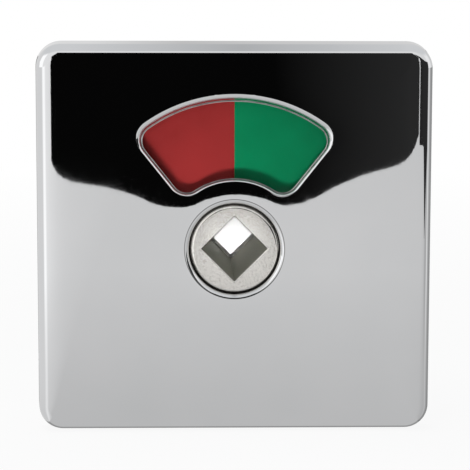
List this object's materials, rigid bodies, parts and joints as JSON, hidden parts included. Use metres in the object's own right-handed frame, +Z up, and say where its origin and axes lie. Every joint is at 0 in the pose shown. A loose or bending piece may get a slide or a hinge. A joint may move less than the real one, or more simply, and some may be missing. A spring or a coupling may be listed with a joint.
{
  "type": "toilet indicator bolt",
  "caption": "Chromed square indicator bolt for a cubicle door: red and green sector window and square-socket release hub outside, rack-driven bolt and thumb turn inside.",
  "frame": {"origin": "where the spindle axis meets the outer door face, which is the back of the base plate", "axes": "+Z is up, -Y faces out of the cubicle towards the viewer of the indicator, +X is the way the bolt is thrown"},
  "size_m": [0.0706, 0.0589, 0.069],
  "materials": {
    "chrome": "mirror chrome plate",
    "clear_lens": "clear moulded acrylic",
    "zinc_steel": "bright zinc plated steel",
    "dark_steel": "blackened steel",
    "nylon": "moulded natural nylon",
    "satin_nickel": "satin nickel plated zinc",
    "disc_sheet": "plain aluminium sheet",
    "red_film": "gloss red film",
    "green_film": "gloss green film",
    "brass": "machined brass",
    "spring_steel": "blued spring steel",
    "screw_chrome": "chrome plated steel",
    "shank_steel": "bright drawn steel"
  },
  "bodies": {
    "door_unit": {"outer_cover": "chrome", "window_lens": "clear_lens", "lens_clips": "zinc_steel", "base_plate": "zinc_steel", "cover_grub_screws": "dark_steel", "stop_pins": "zinc_steel", "outer_bush": "nylon", "fixing_sleeves": "zinc_steel", "back_plate": "zinc_steel", "inner_bush": "nylon", "guide_rail": "nylon", "rail_rivets": "zinc_steel", "friction_spring": "spring_steel", "spring_rivet": "zinc_steel", "inner_case": "chrome", "nose_bush": "nylon", "case_screws": "screw_chrome", "turn_bush": "nylon"},
    "spindle": {"release_hub": "satin_nickel", "indicator_disc": "disc_sheet", "red_film": "red_film", "green_film": "green_film", "drive_pinion": "brass", "turn_knob": "chrome", "turn_clip": "dark_steel", "turn_shank": "shank_steel", "turn_grub_screw": "dark_steel"},
    "bolt_bar": {"bolt": "satin_nickel"}
  },
  "joints": [
    {"name": "spindle_turn", "type": "hinge", "parent": "door_unit", "child": "spindle", "pos_m": [0, 0.01, 0], "axis": [0, 1, 0], "range_deg": [-45, 45]},
    {"name": "bolt_slide", "type": "slide", "parent": "door_unit", "child": "bolt_bar", "axis": [1, 0, 0], "range_m": [-0.00786, 0.00786]}
  ],
  "couplings": [
    {"joint": "bolt_slide", "follows": "spindle_turn", "m_per_rad": 0.01}
  ]
}
